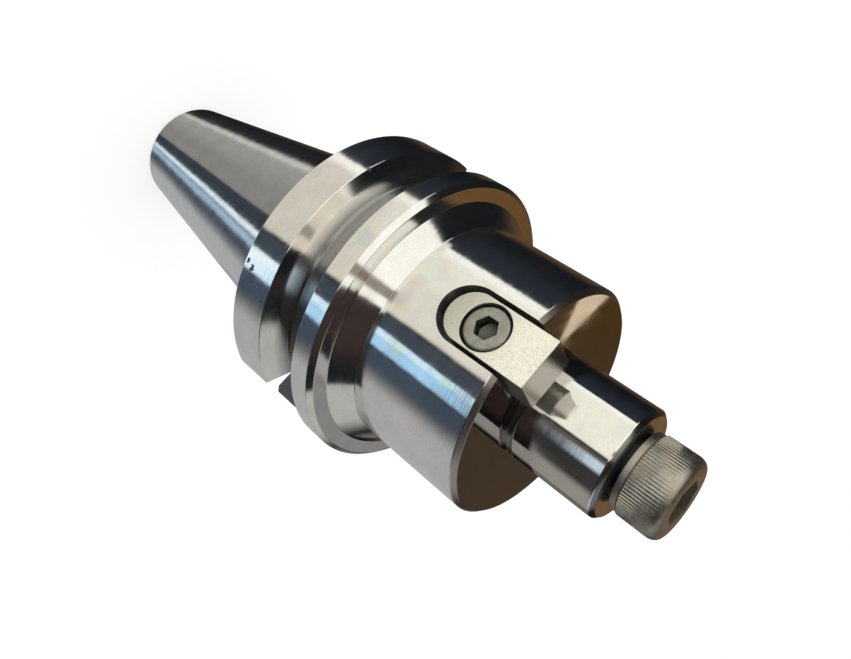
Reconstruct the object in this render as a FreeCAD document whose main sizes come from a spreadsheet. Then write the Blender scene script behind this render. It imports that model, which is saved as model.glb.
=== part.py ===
import FreeCAD, Part
import Sketcher
import math
import os

# Face mill arbor: a steep-taper shank, a gripper flange, a round body and a spigot in one turned piece,
# two drive keys screwed into the body, and the screw that clamps the cutter on the spigot.
# Millimetres. The origin is the centre of the gauge plane, where the taper has its gauge diameter.
# +Z runs along the axis towards the cutter, the keys lie on the Y sides and the drive slots on the X sides.

SIZES = [
    ("gauge_diameter", 44.45, "taper at the gauge plane"),
    ("taper_length", 65.4, "gauge plane to the small end"),
    ("taper_rise", 7, "diameter lost over one taper_run"),
    ("taper_run", 24, "length over which the diameter changes by taper_rise"),
    ("tail_chamfer", 1.0, "at the small end"),
    ("relief_diameter", 43.4, "grinding relief between taper and flange"),
    ("relief_slope", 0.4, "length of the step down into the relief"),
    ("flange_gap", 2.0, "gauge plane to the flange's back face"),
    ("flange_diameter", 63.0, "over both bands"),
    ("flange_width", 25.0, "back face to front face"),
    ("flange_chamfer", 1.0, "on the two outer edges"),
    ("groove_centre", 16.6, "gauge plane to the middle of the gripper groove"),
    ("groove_mouth", 10.0, "width of the gripper groove at the flange's diameter"),
    ("groove_depth", 5.0, "flange's surface to the bottom of the gripper groove"),
    ("groove_angle", 60.0, "between the two walls of the gripper groove"),
    ("groove_fillet", 1.0, "at the foot of the groove's walls"),
    ("drive_slot_width", 16.1, "slot for the spindle's drive key"),
    ("drive_slot_depth", 9.0, "flange's surface to the floor of a drive slot"),
    ("flare_width", 3.6, "45 degree flare from the body up to the flange"),
    ("body_diameter", 48.0, "ground body behind the cutter"),
    ("gauge_length", 56.0, "gauge plane to the shoulder that the cutter seats on"),
    ("shoulder_chamfer", 0.9, "round the shoulder"),
    ("spigot_diameter", 22.0, "pilot for the cutter's bore"),
    ("spigot_length", 19.0, "shoulder to the spigot's end"),
    ("spigot_chamfer", 0.8, "at the spigot's end"),
    ("undercut_width", 1.5, "turned relief at the spigot's root"),
    ("undercut_depth", 0.35, "of that relief below the spigot's surface"),
    ("face_relief_width", 1.2, "the same relief, from the spigot out into the shoulder's face"),
    ("face_relief_depth", 0.2, "of that relief below the shoulder's face"),
    ("key_width", 10.0, "drive key, across"),
    ("key_length", 20.0, "round end to nose"),
    ("key_height", 8.5, "seat to flat top"),
    ("key_overhang", 4.4, "nose beyond the shoulder"),
    ("key_seat", 14.5, "axis to the floor that the key sits on"),
    ("key_chamfer", 0.35, "round the key's top"),
    ("slot_side_gap", 0.75, "between key and slot, each side"),
    ("slot_end_gap", 1.1, "between the key's round end and the slot's"),
    ("key_screw_inset", 8.2, "key's round end to its screw"),
    ("counterbore_gap", 0.2, "round the key screw's head"),
    ("head_recess", 0.25, "key's top to the screw head's top"),
    ("shank_gap", 0.25, "round the key screw's shank in the key"),
    ("thread_gap", 0.05, "between a screw and its tapped hole, both plain"),
    ("tap_run_out", 1.5, "tapped hole beyond a screw's tip"),
    ("drill_angle", 118.0, "point of a drilled hole"),
    ("key_screw_thread", 5.0, "key screw, nominal diameter"),
    ("key_screw_length", 10.0, "under its head"),
    ("key_screw_head", 8.5, "its head's diameter"),
    ("key_screw_head_height", 5.0, "its head's height"),
    ("key_screw_hex", 4.0, "its socket across flats"),
    ("key_screw_hex_depth", 2.5, "its socket's depth"),
    ("key_screw_collar", 8.3, "its head's diameter beside the bearing face"),
    ("key_screw_collar_height", 0.4, "plain collar below the head's full diameter"),
    ("key_screw_edge", 0.4, "inset of its head's top edge"),
    ("key_screw_edge_height", 0.4, "height of its head's top edge"),
    ("key_screw_tip", 0.5, "chamfer at its tip"),
    ("clamp_screw_thread", 10.0, "clamp screw, nominal diameter"),
    ("clamp_screw_length", 25.0, "under its head"),
    ("clamp_screw_head", 16.0, "its head's diameter"),
    ("clamp_screw_head_height", 10.0, "its head's height"),
    ("clamp_screw_hex", 8.0, "its socket across flats"),
    ("clamp_screw_hex_depth", 5.0, "its socket's depth"),
    ("clamp_screw_collar", 15.5, "its head's diameter beside the bearing face"),
    ("clamp_screw_collar_height", 1.6, "plain collar below the knurl"),
    ("clamp_screw_edge", 0.9, "inset of its head's top edge"),
    ("clamp_screw_edge_height", 1.7, "height of its head's top edge"),
    ("clamp_screw_tip", 1.0, "chamfer at its tip"),
    ("bore_lead", 0.6, "lead-in at a tapped hole's mouth"),
    ("stud_thread", 16.0, "tapped hole for the pull stud"),
    ("stud_depth", 32.0, "small end to the end of that thread"),
    ("stud_pilot", 17.0, "plain pilot at the small end"),
    ("stud_pilot_depth", 7.0, "of that pilot"),
    ("cut_past", 1.0, "how far the outline of a cut runs past the surface"),
]

doc = FreeCAD.newDocument("face_mill_arbor")
sizes = doc.addObject("Spreadsheet::Sheet", "sizes")
for row, (alias, number, meaning) in enumerate(SIZES, start=1):
    sizes.set(f"A{row}", alias)
    sizes.set(f"B{row}", str(number))
    sizes.set(f"C{row}", meaning)
    sizes.setAlias(f"B{row}", alias)
doc.recompute()

# Places that follow from the sizes, along the axis or from it.
GAUGE_RADIUS = "sizes.gauge_diameter / 2"
FLANGE_RADIUS = "sizes.flange_diameter / 2"
FLANGE_END = "(sizes.flange_gap + sizes.flange_width)"
BODY_RADIUS = "sizes.body_diameter / 2"
SPIGOT_RADIUS = "sizes.spigot_diameter / 2"
SPIGOT_END = "(sizes.gauge_length + sizes.spigot_length)"
NOSE_END = "(sizes.gauge_length + sizes.key_overhang)"
SCREW_PLACE = f"({NOSE_END} - sizes.key_length + sizes.key_screw_inset)"
KEY_TOP = "(sizes.key_seat + sizes.key_height)"
SLOT_RADIUS = "(sizes.key_width / 2 + sizes.slot_side_gap)"
GROOVE_HALF_FLOOR = "(sizes.groove_mouth / 2 - sizes.groove_depth * tan(sizes.groove_angle / 2))"


def value(expression):
    """What an expression comes to with the sheet's present sizes."""
    return float(sizes.evalExpression(expression))


def new_body(label):
    """A body for one physical piece."""
    body = doc.addObject("PartDesign::Body", label)
    body.Label = label
    return body


def origin_part(body, role):
    """One of the body's own origin planes or axes."""
    return next(item for item in body.Origin.OriginFeatures if item.Role == role)


def new_sketch(body, name, plane, height="0"):
    """A sketch on one of the body's origin planes, lifted along that plane's normal."""
    sketch = body.newObject("Sketcher::SketchObject", name)
    sketch.AttachmentSupport = [(origin_part(body, plane), "")]
    sketch.MapMode = "FlatFace"
    sketch.setExpression("AttachmentOffset.Base.z", height)
    return sketch


def hold(sketch, name, kind, place, expression):
    """Ties one point of a sketch to the origin by a size, across or up."""
    index = sketch.addConstraint(Sketcher.Constraint(kind, -1, 1, *place, value(expression)))
    sketch.renameConstraint(index, name)
    sketch.setExpression(f"Constraints.{name}", expression)


def draw_outline(sketch, corners):
    """A closed outline of straight lines whose corners are held by pairs of expressions, across and up."""
    points = [FreeCAD.Vector(value(across), value(up), 0) for across, up in corners]
    for start, end in zip(points, points[1:] + points[:1]):
        sketch.addGeometry(Part.LineSegment(start, end), False)
    count = len(corners)
    for line in range(count):
        sketch.addConstraint(Sketcher.Constraint("Coincident", line, 2, (line + 1) % count, 1))
    for line, (across, up) in enumerate(corners):
        hold(sketch, f"across_{line}", "DistanceX", (line, 1), across)
        hold(sketch, f"up_{line}", "DistanceY", (line, 1), up)


def draw_tongue(sketch, half_width, centre, nose):
    """An outline with parallel sides, a square nose and a round end, symmetric about the sketch's upright axis."""
    half = value(half_width)
    low = value(centre)
    high = value(nose)
    left_top = FreeCAD.Vector(-half, high, 0)
    left_low = FreeCAD.Vector(-half, low, 0)
    right_low = FreeCAD.Vector(half, low, 0)
    right_top = FreeCAD.Vector(half, high, 0)
    round_end = Part.Circle(FreeCAD.Vector(0, low, 0), FreeCAD.Vector(0, 0, 1), half)
    sketch.addGeometry(Part.LineSegment(left_top, left_low), False)
    sketch.addGeometry(Part.ArcOfCircle(round_end, math.pi, 2 * math.pi), False)
    sketch.addGeometry(Part.LineSegment(right_low, right_top), False)
    sketch.addGeometry(Part.LineSegment(right_top, left_top), False)
    for edge in range(4):
        sketch.addConstraint(Sketcher.Constraint("Coincident", edge, 2, (edge + 1) % 4, 1))
    hold(sketch, "left", "DistanceX", (0, 1), f"-{half_width}")
    hold(sketch, "nose", "DistanceY", (0, 1), nose)
    hold(sketch, "left_foot", "DistanceX", (0, 2), f"-{half_width}")
    hold(sketch, "foot", "DistanceY", (0, 2), centre)
    hold(sketch, "centre", "DistanceY", (1, 3), centre)
    hold(sketch, "right_foot", "DistanceX", (2, 1), half_width)
    hold(sketch, "right_foot_up", "DistanceY", (2, 1), centre)
    hold(sketch, "right", "DistanceX", (3, 1), half_width)
    hold(sketch, "right_up", "DistanceY", (3, 1), nose)


def draw_circle(sketch, across, up, radius):
    """A full circle held by its centre and radius."""
    place = FreeCAD.Vector(value(across), value(up), 0)
    sketch.addGeometry(Part.Circle(place, FreeCAD.Vector(0, 0, 1), value(radius)), False)
    hold(sketch, "centre_across", "DistanceX", (0, 3), across)
    hold(sketch, "centre_up", "DistanceY", (0, 3), up)
    index = sketch.addConstraint(Sketcher.Constraint("Radius", 0, value(radius)))
    sketch.renameConstraint(index, "radius")
    sketch.setExpression("Constraints.radius", radius)


def turn(body, name, kind, corners):
    """A full turn of an outline in the XZ plane about the body's axis: kind is Revolution or Groove."""
    sketch = new_sketch(body, f"{name}_outline", "XZ_Plane")
    draw_outline(sketch, corners)
    feature = body.newObject(f"PartDesign::{kind}", name)
    feature.Profile = sketch
    feature.ReferenceAxis = (sketch, ["V_Axis"])
    feature.Angle = 360.0
    doc.recompute()
    return feature


def cut(body, name, sketch, outward, length=None):
    """A pocket from a sketch, away from its normal or with it, to a length or through everything."""
    before = body.Shape.Volume
    feature = body.newObject("PartDesign::Pocket", name)
    feature.Profile = sketch
    feature.Reversed = outward
    if length is None:
        feature.Type = "ThroughAll"
    else:
        feature.setExpression("Length", length)
    doc.recompute()
    if not body.Shape.Volume < before:
        raise RuntimeError(f"{name} took nothing away")
    return feature


def repeat(body, name, features):
    """Copies features to the far side of the axis."""
    pattern = body.newObject("PartDesign::PolarPattern", name)
    pattern.Originals = features
    pattern.Axis = (origin_part(body, "Z_Axis"), [""])
    pattern.Angle = 360.0
    pattern.Occurrences = 2
    body.Tip = pattern
    doc.recompute()
    return pattern


def edges_where(shape, wanted):
    """Names of the edges of a shape for which wanted(edge) holds."""
    return [f"Edge{number}" for number, edge in enumerate(shape.Edges, start=1) if wanted(edge)]


def dress(body, name, kind, base, wanted, size_property, expression):
    """A fillet or chamfer of one size on the chosen edges of a feature."""
    feature = body.newObject(f"PartDesign::{kind}", name)
    feature.Base = (base, edges_where(base.Shape, wanted))
    feature.setExpression(size_property, expression)
    doc.recompute()
    return feature


def drill_point(radius):
    """Length of the cone that a drill of this radius leaves."""
    return f"({radius}) / tan(sizes.drill_angle / 2)"


def make_arbor_body():
    """The turned and ground piece from the taper's small end to the end of the spigot."""
    body = new_body("arbor_body")
    taper_slope = "sizes.taper_rise / sizes.taper_run / 2"
    tail_radius = f"({GAUGE_RADIUS} - sizes.taper_length * {taper_slope})"
    shoulder_of_tail = f"({GAUGE_RADIUS} - (sizes.taper_length - sizes.tail_chamfer) * {taper_slope})"
    relief_radius = "sizes.relief_diameter / 2"
    root_radius = f"({SPIGOT_RADIUS} - sizes.undercut_depth)"
    relief_edge = f"({SPIGOT_RADIUS} + sizes.face_relief_width)"
    relief_floor = "sizes.gauge_length - sizes.face_relief_depth"
    turn(body, "turned_form", "Revolution", [
        ("0", "-sizes.taper_length"),
        (f"{tail_radius} - sizes.tail_chamfer", "-sizes.taper_length"),
        (shoulder_of_tail, "-sizes.taper_length + sizes.tail_chamfer"),
        (GAUGE_RADIUS, "0"),
        (relief_radius, "sizes.relief_slope"),
        (relief_radius, "sizes.flange_gap"),
        (f"{FLANGE_RADIUS} - sizes.flange_chamfer", "sizes.flange_gap"),
        (FLANGE_RADIUS, "sizes.flange_gap + sizes.flange_chamfer"),
        (FLANGE_RADIUS, f"{FLANGE_END} - sizes.flange_chamfer"),
        (f"{FLANGE_RADIUS} - sizes.flange_chamfer", FLANGE_END),
        (f"{BODY_RADIUS} + sizes.flare_width", FLANGE_END),
        (BODY_RADIUS, f"{FLANGE_END} + sizes.flare_width"),
        (BODY_RADIUS, "sizes.gauge_length - sizes.shoulder_chamfer"),
        (f"{BODY_RADIUS} - sizes.shoulder_chamfer", "sizes.gauge_length"),
        (relief_edge, "sizes.gauge_length"),
        (f"{relief_edge} - sizes.face_relief_depth", relief_floor),
        (root_radius, relief_floor),
        (root_radius, "sizes.gauge_length + sizes.undercut_width - sizes.undercut_depth"),
        (SPIGOT_RADIUS, "sizes.gauge_length + sizes.undercut_width"),
        (SPIGOT_RADIUS, f"{SPIGOT_END} - sizes.spigot_chamfer"),
        (f"{SPIGOT_RADIUS} - sizes.spigot_chamfer", SPIGOT_END),
        ("0", SPIGOT_END),
    ])
    cut_gripper_groove(body)
    cut_drive_slots(body)
    cut_key_seats(body)
    bore_ends(body)
    return body


def cut_gripper_groove(body):
    """The V groove that a tool changer's gripper holds, with its walls run past the flange's surface."""
    half_mouth = "sizes.groove_mouth / 2"
    floor_radius = f"({FLANGE_RADIUS} - sizes.groove_depth)"
    widening = "sizes.cut_past * tan(sizes.groove_angle / 2)"
    groove = turn(body, "gripper_groove", "Groove", [
        (floor_radius, f"sizes.groove_centre - {GROOVE_HALF_FLOOR}"),
        (f"{FLANGE_RADIUS} + sizes.cut_past", f"sizes.groove_centre - {half_mouth} - {widening}"),
        (f"{FLANGE_RADIUS} + sizes.cut_past", f"sizes.groove_centre + {half_mouth} + {widening}"),
        (floor_radius, f"sizes.groove_centre + {GROOVE_HALF_FLOOR}"),
    ])
    foot_radius = value(floor_radius)

    def is_foot(edge):
        curve = edge.Curve
        return isinstance(curve, Part.Circle) and abs(curve.Radius - foot_radius) < 1e-4

    dress(body, "groove_feet", "Fillet", groove, is_foot, "Radius", "sizes.groove_fillet")


def cut_drive_slots(body):
    """Two slots in the flange's back band, as far as the groove's front wall, for the spindle's drive keys."""
    sketch = new_sketch(body, "drive_slot_outline", "XY_Plane")
    half_width = "sizes.drive_slot_width / 2"
    floor = f"({FLANGE_RADIUS} - sizes.drive_slot_depth)"
    outside = f"{FLANGE_RADIUS} + sizes.cut_past"
    draw_outline(sketch, [
        (floor, f"-{half_width}"),
        (outside, f"-{half_width}"),
        (outside, half_width),
        (floor, half_width),
    ])
    slot = cut(body, "drive_slot", sketch, True, f"sizes.groove_centre + {GROOVE_HALF_FLOOR}")
    repeat(body, "drive_slots", [slot])


def cut_key_seats(body):
    """A round-ended slot open at the shoulder on each Y side, with a tapped hole in its floor."""
    outline = new_sketch(body, "key_slot_outline", "XZ_Plane", "-sizes.key_seat")
    round_centre = f"{NOSE_END} - sizes.key_length + sizes.key_width / 2"
    slot_centre = f"({round_centre} - sizes.slot_end_gap + sizes.slot_side_gap)"
    draw_tongue(outline, SLOT_RADIUS, slot_centre, f"{NOSE_END} + sizes.cut_past")
    slot = cut(body, "key_slot", outline, False)
    hole_radius = "(sizes.key_screw_thread / 2 + sizes.thread_gap)"
    grip = "(sizes.key_height - sizes.head_recess - sizes.key_screw_head_height)"
    circle = new_sketch(body, "key_tap_circle", "XZ_Plane", "-sizes.key_seat")
    draw_circle(circle, "0", SCREW_PLACE, hole_radius)
    tap = body.newObject("PartDesign::Hole", "key_tap")
    tap.Profile = circle
    tap.Reversed = True
    tap.ThreadType = "None"
    tap.DepthType = "Dimension"
    tap.DrillPoint = "Angled"
    tap.DrillForDepth = False
    tap.setExpression("Diameter", f"2 * {hole_radius}")
    tap.setExpression("Depth", f"sizes.key_screw_length - {grip} + sizes.tap_run_out")
    tap.setExpression("DrillPointAngle", "sizes.drill_angle")
    doc.recompute()
    repeat(body, "key_seats", [slot, tap])


def bore_ends(body):
    """The clamp screw's tapped hole in the spigot, and the pull stud's in the small end."""
    clamp_radius = "(sizes.clamp_screw_thread / 2 + sizes.thread_gap)"
    clamp_end = f"({SPIGOT_END} - sizes.clamp_screw_length - sizes.tap_run_out)"
    turn(body, "clamp_bore", "Groove", [
        ("0", SPIGOT_END),
        (f"{clamp_radius} + sizes.bore_lead", SPIGOT_END),
        (clamp_radius, f"{SPIGOT_END} - sizes.bore_lead"),
        (clamp_radius, clamp_end),
        ("0", f"{clamp_end} - {drill_point(clamp_radius)}"),
    ])
    stud_radius = "sizes.stud_thread / 2"
    pilot_radius = "sizes.stud_pilot / 2"
    stud_end = "(-sizes.taper_length + sizes.stud_depth)"
    turn(body, "stud_bore", "Groove", [
        ("0", "-sizes.taper_length"),
        (f"{pilot_radius} + sizes.bore_lead", "-sizes.taper_length"),
        (pilot_radius, "-sizes.taper_length + sizes.bore_lead"),
        (pilot_radius, "-sizes.taper_length + sizes.stud_pilot_depth"),
        (stud_radius, "-sizes.taper_length + sizes.stud_pilot_depth"),
        (stud_radius, stud_end),
        ("0", f"{stud_end} + {drill_point(stud_radius)}"),
    ])


def make_drive_key(label, quarter_turns):
    """A drive key: flat on its seat, round at one end, with a counterbored hole. Its own Z is its height."""
    body = new_body(label)
    outline = new_sketch(body, "key_outline", "XY_Plane")
    half_width = "sizes.key_width / 2"
    draw_tongue(outline, half_width, half_width, "sizes.key_length")
    pad = body.newObject("PartDesign::Pad", "key_block")
    pad.Profile = outline
    pad.setExpression("Length", "sizes.key_height")
    doc.recompute()
    top = value("sizes.key_height")

    def is_top(edge):
        return all(abs(vertex.Z - top) < 1e-4 for vertex in edge.Vertexes)

    dress(body, "eased_top", "Chamfer", pad, is_top, "Size", "sizes.key_chamfer")
    for name, radius, length in (
        ("head_recess", "(sizes.key_screw_head / 2 + sizes.counterbore_gap)",
         "sizes.key_screw_head_height + sizes.head_recess"),
        ("screw_hole", "(sizes.key_screw_thread / 2 + sizes.shank_gap)", None),
    ):
        circle = new_sketch(body, f"{name}_circle", "XY_Plane", "sizes.key_height")
        draw_circle(circle, "0", "sizes.key_screw_inset", radius)
        cut(body, name, circle, False, length)
    lay_flat = FreeCAD.Rotation(
        FreeCAD.Vector(-1, 0, 0), FreeCAD.Vector(0, 0, 1), FreeCAD.Vector(0, 1, 0), "ZXY")
    set_on_side(body, quarter_turns, lay_flat, "sizes.key_seat", f"{NOSE_END} - sizes.key_length")
    return body


def set_on_side(body, quarter_turns, rotation, out, along):
    """Puts a piece on the +Y side, or opposite after two quarter turns, at a distance out and along the axis."""
    around = FreeCAD.Rotation(FreeCAD.Vector(0, 0, 1), 90 * quarter_turns)
    body.Placement = FreeCAD.Placement(FreeCAD.Vector(0, 0, 0), around * rotation)
    direction = "-" if quarter_turns == 2 else ""
    body.setExpression("Placement.Base.y", f"{direction}({out})")
    body.setExpression("Placement.Base.z", along)
    doc.recompute()


def make_cap_screw(label, size):
    """A socket head cap screw, head up, with its bearing face at Z 0. size names its cells in the sheet."""
    body = new_body(label)
    shank = f"sizes.{size}_thread / 2"
    head = f"sizes.{size}_head / 2"
    height = f"sizes.{size}_head_height"
    edge = f"sizes.{size}_edge"
    collar = f"sizes.{size}_collar / 2"
    collar_height = f"sizes.{size}_collar_height"
    tip_chamfer = f"sizes.{size}_tip"
    turn(body, "turned_form", "Revolution", [
        ("0", f"-sizes.{size}_length"),
        (f"{shank} - {tip_chamfer}", f"-sizes.{size}_length"),
        (shank, f"-sizes.{size}_length + {tip_chamfer}"),
        (shank, "0"),
        (collar, "0"),
        (collar, collar_height),
        (head, f"{collar_height} + ({head} - {collar})"),
        (head, f"{height} - {edge}_height"),
        (f"{head} - {edge}", height),
        ("0", height),
    ])
    corner = f"(sizes.{size}_hex / sqrt(3))"
    flat = new_sketch(body, "socket_outline", "XY_Plane", height)
    draw_outline(flat, [
        (f"{corner} * cos({60 * number})", f"{corner} * sin({60 * number})") for number in range(6)
    ])
    cut(body, "socket", flat, False, f"sizes.{size}_hex_depth")
    return body


arbor_body = make_arbor_body()
parts = [arbor_body]
head_seat = f"{KEY_TOP} - sizes.head_recess - sizes.key_screw_head_height"
head_out = FreeCAD.Rotation(FreeCAD.Vector(1, 0, 0), -90)
for side, quarter_turns in (("a", 0), ("b", 2)):
    parts.append(make_drive_key(f"drive_key_{side}", quarter_turns))
    screw = make_cap_screw(f"key_screw_{side}", "key_screw")
    set_on_side(screw, quarter_turns, head_out, head_seat, SCREW_PLACE)
    parts.append(screw)
clamp_screw = make_cap_screw("clamp_screw", "clamp_screw")
clamp_screw.setExpression("Placement.Base.z", SPIGOT_END)
parts.append(clamp_screw)
doc.recompute()

for item in doc.Objects:
    if "Invalid" in item.State or "Error" in item.State:
        raise RuntimeError(f"{item.Label} failed: {item.State}")
os.makedirs("parts", exist_ok=True)
for piece in parts:
    shape = piece.Shape
    if shape.isNull() or not shape.isValid() or len(shape.Solids) != 1:
        raise RuntimeError(f"{piece.Label} is not one sound solid")
for piece in parts:
    piece.Shape.exportStep(f"parts/{piece.Label}.step")
    print(piece.Label, round(piece.Shape.Volume, 2), "mm3", piece.Shape.BoundBox)
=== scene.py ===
# %% [markdown]
# # A face mill arbor in ground steel
# The real object is one long turned piece of hardened steel with two small keys screwed to its sides and
# a knurled cap screw in its nose. Almost every face was made on a lathe or a grinding wheel, so almost
# every face here is made by spinning a profile about one axis.
# The first step loads the engineering model. It is the fixed frame: each new piece goes where it says.

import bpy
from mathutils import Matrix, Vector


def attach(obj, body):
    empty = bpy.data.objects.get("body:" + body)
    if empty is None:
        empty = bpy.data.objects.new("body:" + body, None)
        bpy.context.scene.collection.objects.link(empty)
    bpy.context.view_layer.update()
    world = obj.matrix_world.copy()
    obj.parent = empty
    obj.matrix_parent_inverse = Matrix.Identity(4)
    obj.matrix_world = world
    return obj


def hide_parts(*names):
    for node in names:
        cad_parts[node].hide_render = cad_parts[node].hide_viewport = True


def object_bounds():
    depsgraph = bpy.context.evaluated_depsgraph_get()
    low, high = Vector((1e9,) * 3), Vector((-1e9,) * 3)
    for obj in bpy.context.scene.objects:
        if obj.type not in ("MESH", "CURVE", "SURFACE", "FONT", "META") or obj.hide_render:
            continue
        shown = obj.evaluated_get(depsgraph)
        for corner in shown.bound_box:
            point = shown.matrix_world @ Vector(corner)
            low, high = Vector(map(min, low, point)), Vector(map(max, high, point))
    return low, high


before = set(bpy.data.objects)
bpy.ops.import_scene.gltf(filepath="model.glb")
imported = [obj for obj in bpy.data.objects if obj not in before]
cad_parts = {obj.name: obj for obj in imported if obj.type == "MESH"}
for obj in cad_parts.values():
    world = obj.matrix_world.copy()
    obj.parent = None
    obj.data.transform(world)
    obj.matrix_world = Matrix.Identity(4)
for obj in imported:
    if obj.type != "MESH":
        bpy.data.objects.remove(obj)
cad_low, cad_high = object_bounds()
print("The engineering model reaches from", tuple(cad_low), "to", tuple(cad_high))

# %% Modules and units
import math

import bpy
from mathutils import Euler, Matrix, Vector

MM = 0.001
TINY = 1e-6
TURN = 2 * math.pi

# %% [markdown]
# ## Sizes
# These are the turned diameters and lengths of the arbor, in millimetres. Heights are measured along the
# axis from the gauge plane, where the steep taper is 44.45 mm across. They are the engineering model's own
# sizes, because a piece that stands for one of its nodes has to lie in the same place.

# %% Sizes of the turned piece
GAUGE_RADIUS = 22.225
TAPER_LENGTH = 65.4
TAPER_SLOPE = 7 / 24 / 2
TAPER_CHAMFER = 1
RELIEF_RADIUS = 21.7
RELIEF_START = 0.4
FLANGE_RADIUS = 31.5
FLANGE_BACK = 2.0
FLANGE_FRONT = 27.0
FLANGE_CHAMFER = 1
GROOVE_MIDDLE = 16.6
GROOVE_HALF_MOUTH = 5.0
GROOVE_DEPTH = 5.0
GROOVE_TILT = math.radians(30)
GROOVE_FOOT_RADIUS = 1.0
BODY_RADIUS = 24.0
FLARE = 3.6
SHOULDER = 56.0
SHOULDER_CHAMFER = 0.9
SPIGOT_RADIUS = 11.0
SPIGOT_END = 75.0
SPIGOT_CHAMFER = 0.8
UNDERCUT_DEPTH = 0.35
UNDERCUT_FLAT_TOP = 1.15
UNDERCUT_TOP = 1.5
BORE_CHAMFER = 0.6
CLAMP_BORE_RADIUS = 5.05
CLAMP_BORE_FLOOR = 48.5
STUD_RADIUS = 8.0
STUD_PILOT_RADIUS = 8.5
STUD_PILOT_DEPTH = 7
STUD_FLOOR = -33.4
DRILL_SLOPE = 1 / math.tan(math.radians(59))
BROKEN_EDGE = 0.14

# %% [markdown]
# ## Helpers for modelling by hand
# Every operator acts on what is selected, and loading the frame leaves its nodes selected. So each step
# here first lets go of everything, then picks one object, then picks vertices or faces by where they are.

# %% Selection helpers
def let_go():
    """Leaves edit mode and deselects every object."""
    if bpy.context.object and bpy.context.object.mode != "OBJECT":
        bpy.ops.object.mode_set(mode="OBJECT")
    bpy.ops.object.select_all(action="DESELECT")


def take(piece):
    """Makes one object the selected and active one."""
    let_go()
    piece.select_set(True)
    bpy.context.view_layer.objects.active = piece


def pick(piece, kind, wanted):
    """In edit mode, selects the vertices, edges or faces of a piece for which wanted(item) holds."""
    bpy.ops.mesh.select_mode(type={"vertices": "VERT", "edges": "EDGE", "polygons": "FACE"}[kind])
    bpy.ops.mesh.select_all(action="DESELECT")
    bpy.ops.object.mode_set(mode="OBJECT")
    mesh = piece.data
    found = 0
    for item in getattr(mesh, kind):
        if wanted(item):
            item.select = True
            found += 1
    bpy.ops.object.mode_set(mode="EDIT")
    return found


# %% Modifier and finishing helpers
def apply_modifier(piece, kind, **settings):
    """Adds a modifier with its settings and applies it at once."""
    take(piece)
    modifier = piece.modifiers.new(kind.lower(), kind)
    for name, setting in settings.items():
        setattr(modifier, name, setting)
    bpy.ops.object.modifier_apply(modifier=modifier.name)


def carve(piece, cutter):
    """Cuts one solid out of another, gives the cut the cutter's material, and throws the cutter away."""
    apply_modifier(piece, "BOOLEAN", operation="DIFFERENCE", solver="EXACT", object=cutter,
                   material_mode="TRANSFER")
    bpy.data.objects.remove(cutter)


def settle(piece):
    """Brings an object's place, turn and size into its mesh, so that it sits at the origin."""
    take(piece)
    bpy.ops.object.transform_apply(location=True, rotation=True, scale=True)


def smooth(piece, degrees=28):
    """Shades round faces smooth. Corners over this angle stay sharp, and large faces keep their own slope."""
    take(piece)
    bpy.ops.object.shade_smooth_by_angle(angle=math.radians(degrees))
    apply_modifier(piece, "WEIGHTED_NORMAL", weight=80, keep_sharp=True)


# %% [markdown]
# ## A lathe
# A turned piece is a profile spun about an axis. By hand it is drawn as one point that is extruded from
# corner to corner. A vertex bevel then breaks each corner, because no ground edge is truly sharp and the
# broken edge is what catches the light, and Spin turns the line into a surface.

# %% The lathe
def draw_profile(name, corners):
    """A line of edges through corners of (radius, height) in millimetres, in the XZ plane."""
    let_go()
    bpy.ops.mesh.primitive_plane_add(size=MM)
    piece = bpy.context.object
    piece.name = piece.data.name = name
    bpy.ops.object.mode_set(mode="EDIT")
    bpy.ops.mesh.select_all(action="SELECT")
    bpy.ops.mesh.merge(type="CENTER")
    here = Vector((0.0, 0.0, 0.0))
    points = [Vector((radius * MM, 0.0, height * MM)) for radius, height in corners]
    bpy.ops.transform.translate(value=points[0] - here)
    for before, after in zip(points, points[1:]):
        bpy.ops.mesh.extrude_region_move(TRANSFORM_OT_translate={"value": after - before})
    return piece


def lathe(name, corners, steps, broken_edge=0.0):
    """Spins a profile into a closed solid. Each corner off the axis can be broken by a small round."""
    piece = draw_profile(name, corners)
    if broken_edge:
        pick(piece, "vertices", lambda vertex: vertex.co.x > TINY)
        bpy.ops.mesh.bevel(affect="VERTICES", offset=broken_edge * MM, segments=3, clamp_overlap=True)
    bpy.ops.mesh.select_all(action="SELECT")
    bpy.ops.mesh.spin(steps=steps, angle=TURN, center=(0, 0, 0), axis=(0, 0, 1))
    bpy.ops.mesh.select_all(action="SELECT")
    bpy.ops.mesh.remove_doubles(threshold=TINY)
    bpy.ops.mesh.normals_make_consistent(inside=False)
    bpy.ops.object.mode_set(mode="OBJECT")
    print(name, "has", len(piece.data.polygons), "faces")
    return piece


# %% [markdown]
# ## The arbor's turned body
# From the small end up: the tapped hole for the pull stud, the steep taper, a grinding relief, the flange
# with its V groove, a 45 degree flare, the round body, the shoulder, the spigot and the clamp screw's hole.
# The foot of each groove wall is a small round, so it is drawn as a short arc of points worked out here.

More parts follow.
